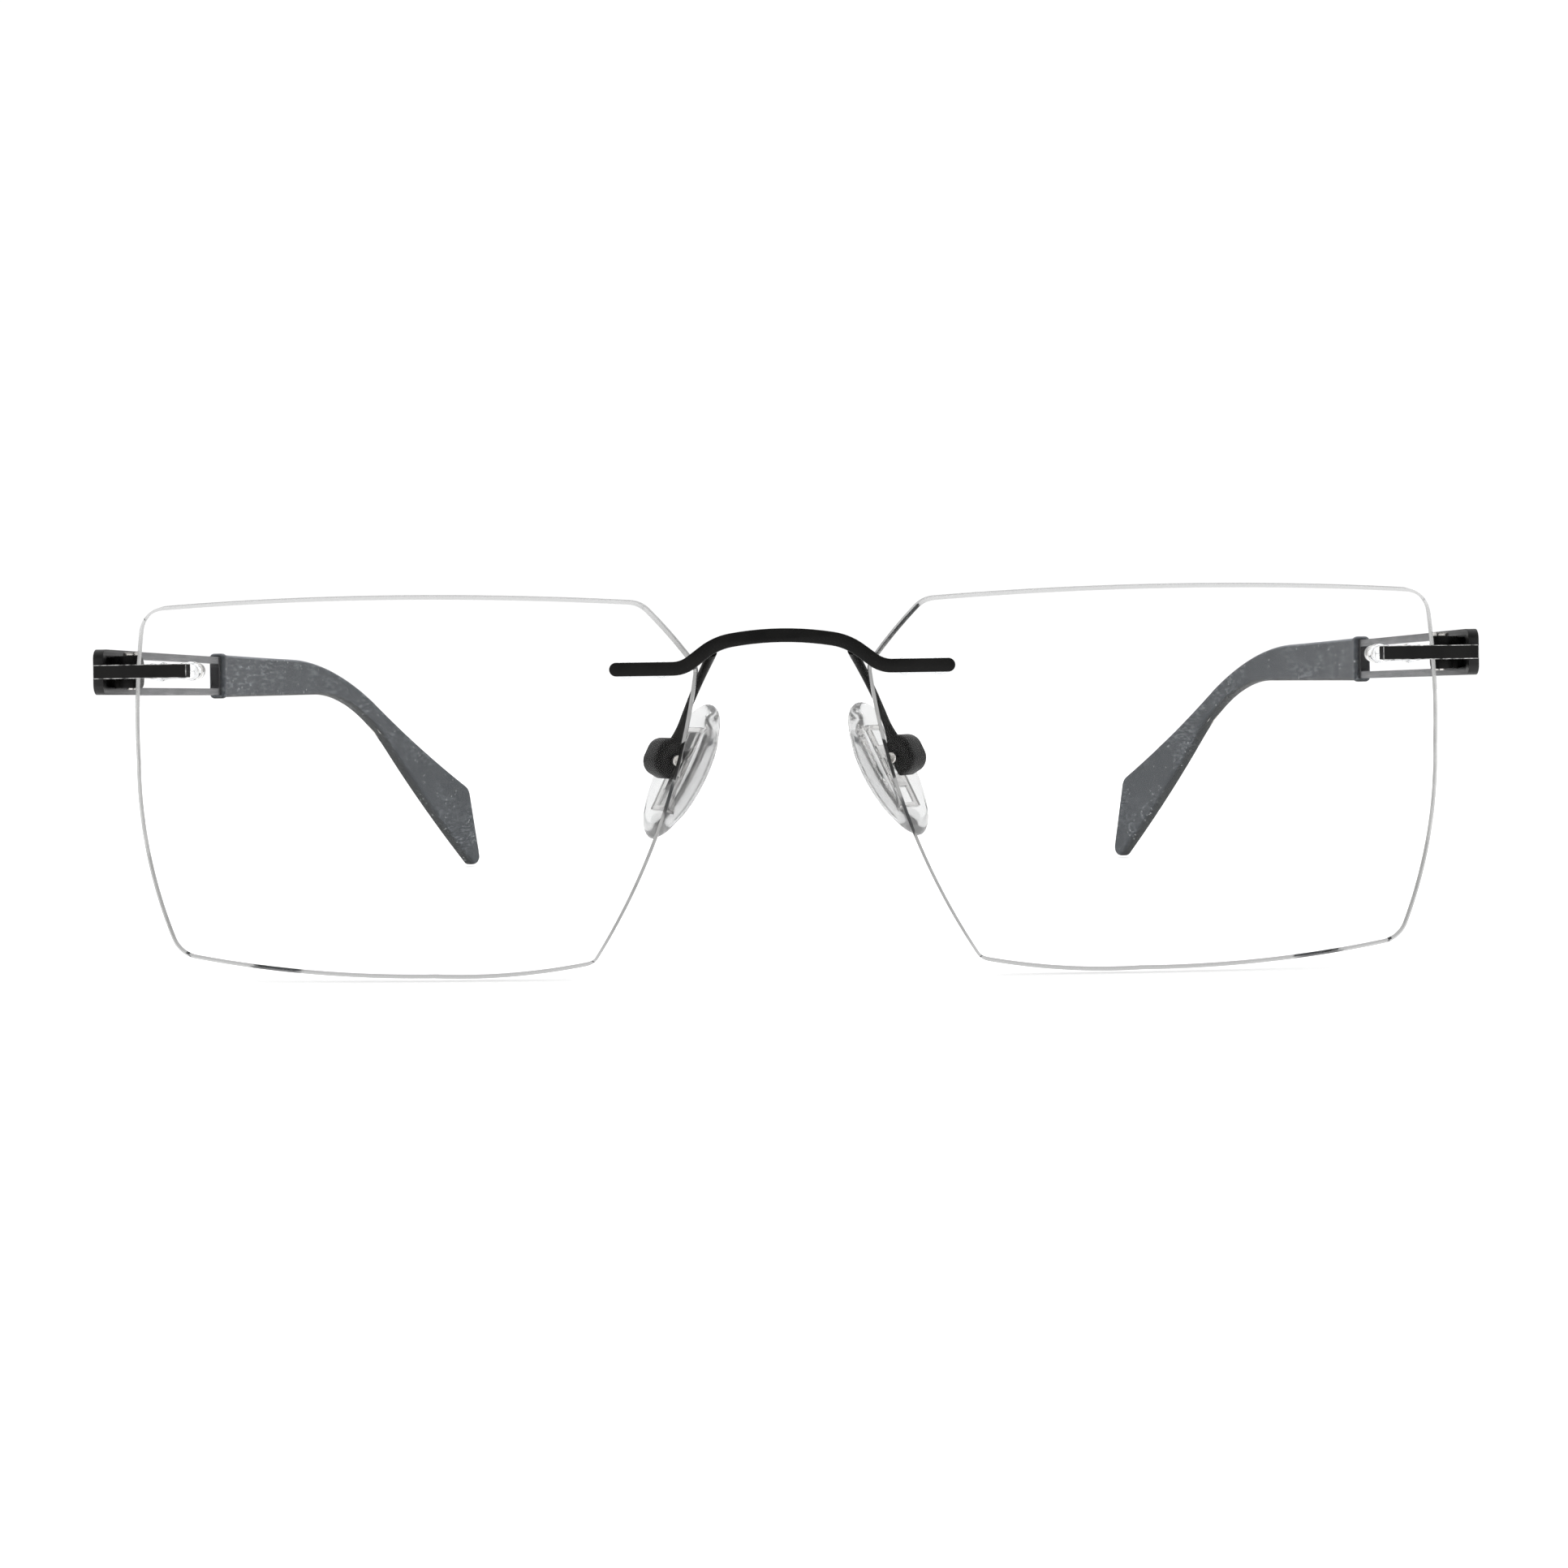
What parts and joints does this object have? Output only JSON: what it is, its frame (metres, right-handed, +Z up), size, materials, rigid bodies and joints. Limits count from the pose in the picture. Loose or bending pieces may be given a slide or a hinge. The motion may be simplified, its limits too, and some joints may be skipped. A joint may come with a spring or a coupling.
{
  "type": "rimless eyeglasses",
  "caption": "Rimless eyeglasses: clear drilled lenses, arched black bridge bar, open-rail folding temples with soft sleeves, and clear rocking nose pads on wire arms.",
  "frame": {"origin": "centre of the overall box at the height of the table that the open glasses stand on", "axes": "+X to the wearer's left, +Y back along the temples, +Z up"},
  "size_m": [0.1398, 0.1398, 0.0385],
  "materials": {
    "clear_lens": "clear, polished",
    "clear_plug": "clear, glossy",
    "silicone": "clear, soft",
    "black_metal": "matte black",
    "grey_metal": "dark satin grey",
    "bright_metal": "bright",
    "sleeve_plastic": "slate grey, matte, soft touch"
  },
  "bodies": {
    "front": {"bridge_bar": "black_metal", "lens_left": "clear_lens", "lens_right": "clear_lens", "bridge_pins_left": "bright_metal", "bridge_pins_right": "bright_metal", "bridge_bushing_left": "clear_plug", "bridge_bushing_right": "clear_plug", "pad_arm_left": "black_metal", "pad_arm_right": "black_metal", "pad_box_left": "black_metal", "pad_box_right": "black_metal", "pad_screw_left": "bright_metal", "pad_screw_right": "bright_metal", "endpiece_left": "black_metal", "endpiece_right": "black_metal", "endpiece_pins_left": "bright_metal", "endpiece_pins_right": "bright_metal", "endpiece_bushing_left": "clear_plug", "endpiece_bushing_right": "clear_plug", "hinge_knuckle_left": "black_metal", "hinge_knuckle_right": "black_metal"},
    "temple_left": {"temple_frame_left": "grey_metal", "temple_core_left": "bright_metal", "temple_sleeve_left": "sleeve_plastic", "hinge_leaf_left": "black_metal", "hinge_screw_left": "bright_metal"},
    "temple_right": {"temple_frame_right": "grey_metal", "temple_core_right": "bright_metal", "temple_sleeve_right": "sleeve_plastic", "hinge_leaf_right": "black_metal", "hinge_screw_right": "bright_metal"},
    "pad_left": {"nose_pad_left": "silicone", "pad_insert_left": "clear_plug"},
    "pad_right": {"nose_pad_right": "silicone", "pad_insert_right": "clear_plug"}
  },
  "joints": [
    {"name": "temple_left_fold", "type": "hinge", "parent": "front", "child": "temple_left", "pos_m": [0.0662, -0.0615, 0.03139], "axis": [0, 0, 1], "range_deg": [0, 82]},
    {"name": "temple_right_fold", "type": "hinge", "parent": "front", "child": "temple_right", "pos_m": [-0.0662, -0.0615, 0.03139], "axis": [0, 0, -1], "range_deg": [0, 72]},
    {"name": "pad_left_rock", "type": "hinge", "parent": "front", "child": "pad_left", "pos_m": [0.0118, -0.0609, 0.02169], "axis": [0.5299, 0.848, 0], "range_deg": [-8, 8]},
    {"name": "pad_right_rock", "type": "hinge", "parent": "front", "child": "pad_right", "pos_m": [-0.0118, -0.0609, 0.02169], "axis": [0.5299, -0.848, 0], "range_deg": [-8, 8]}
  ]
}
